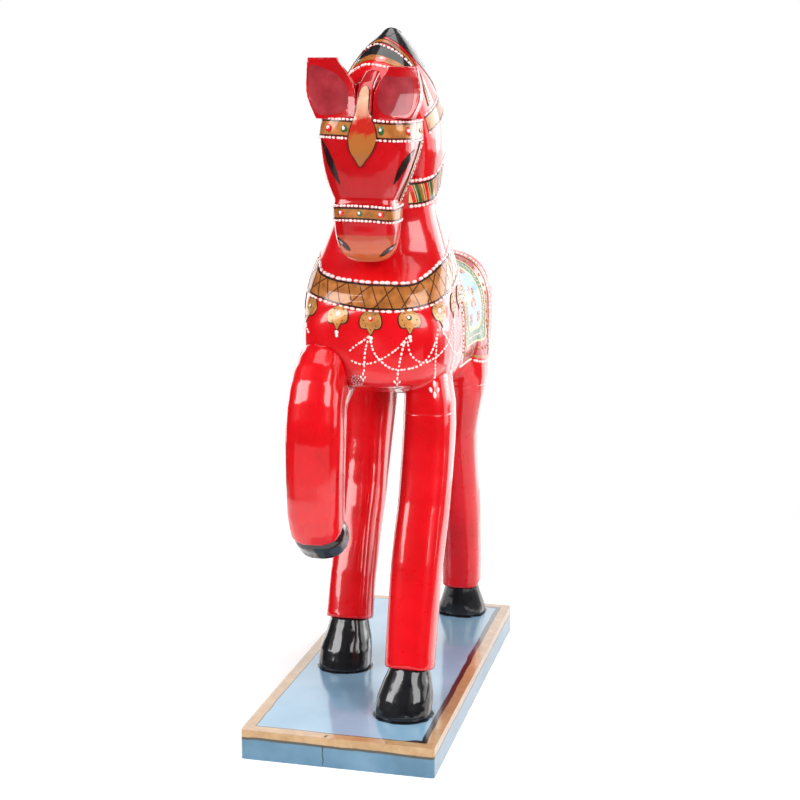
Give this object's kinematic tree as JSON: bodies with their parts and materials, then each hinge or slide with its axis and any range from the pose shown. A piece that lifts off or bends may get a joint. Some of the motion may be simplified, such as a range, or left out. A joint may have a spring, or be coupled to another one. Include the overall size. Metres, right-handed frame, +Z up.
{
  "type": "painted wooden horse figure",
  "caption": "Carved and painted wooden horse standing on a plank base with one foreleg raised, wearing a collar, pendants and bead chains",
  "frame": {"origin": "centre of the base's underside", "axes": "+Z up, the horse looks towards -Y, its left side is +X"},
  "size_m": [0.083, 0.186, 0.3024],
  "materials": {
    "red_lacquer": "high gloss lacquer over red paint, with gold, black, green and white painted ornament",
    "black_lacquer": "high gloss lacquer over black paint",
    "base_paint": "glossy blue paint with a gold painted border",
    "gold_paint": "glossy ochre gold paint on the wood",
    "pearl_paint": "raised dots of glossy pale pink paint",
    "line_paint": "thin glossy black and green painted strokes",
    "bare_wood": "unpainted wood",
    "screw_steel": "plain steel"
  },
  "bodies": {
    "root": {"base_board": "base_paint", "body": "red_lacquer", "neck": "red_lacquer", "head": "red_lacquer", "ear_left": "red_lacquer", "ear_right": "red_lacquer", "leg_front_left": "red_lacquer", "leg_front_right": "red_lacquer", "leg_rear_left": "red_lacquer", "leg_rear_right": "red_lacquer", "hoof_front_left": "black_lacquer", "hoof_front_right": "black_lacquer", "hoof_rear_left": "black_lacquer", "hoof_rear_right": "black_lacquer", "tail": "black_lacquer", "neck_dowels": "bare_wood", "head_dowel": "bare_wood", "leg_dowels": "bare_wood", "ear_pegs": "bare_wood", "tail_peg": "bare_wood", "raised_hoof_peg": "bare_wood", "base_screws": "screw_steel"}
  },
  "joints": []
}
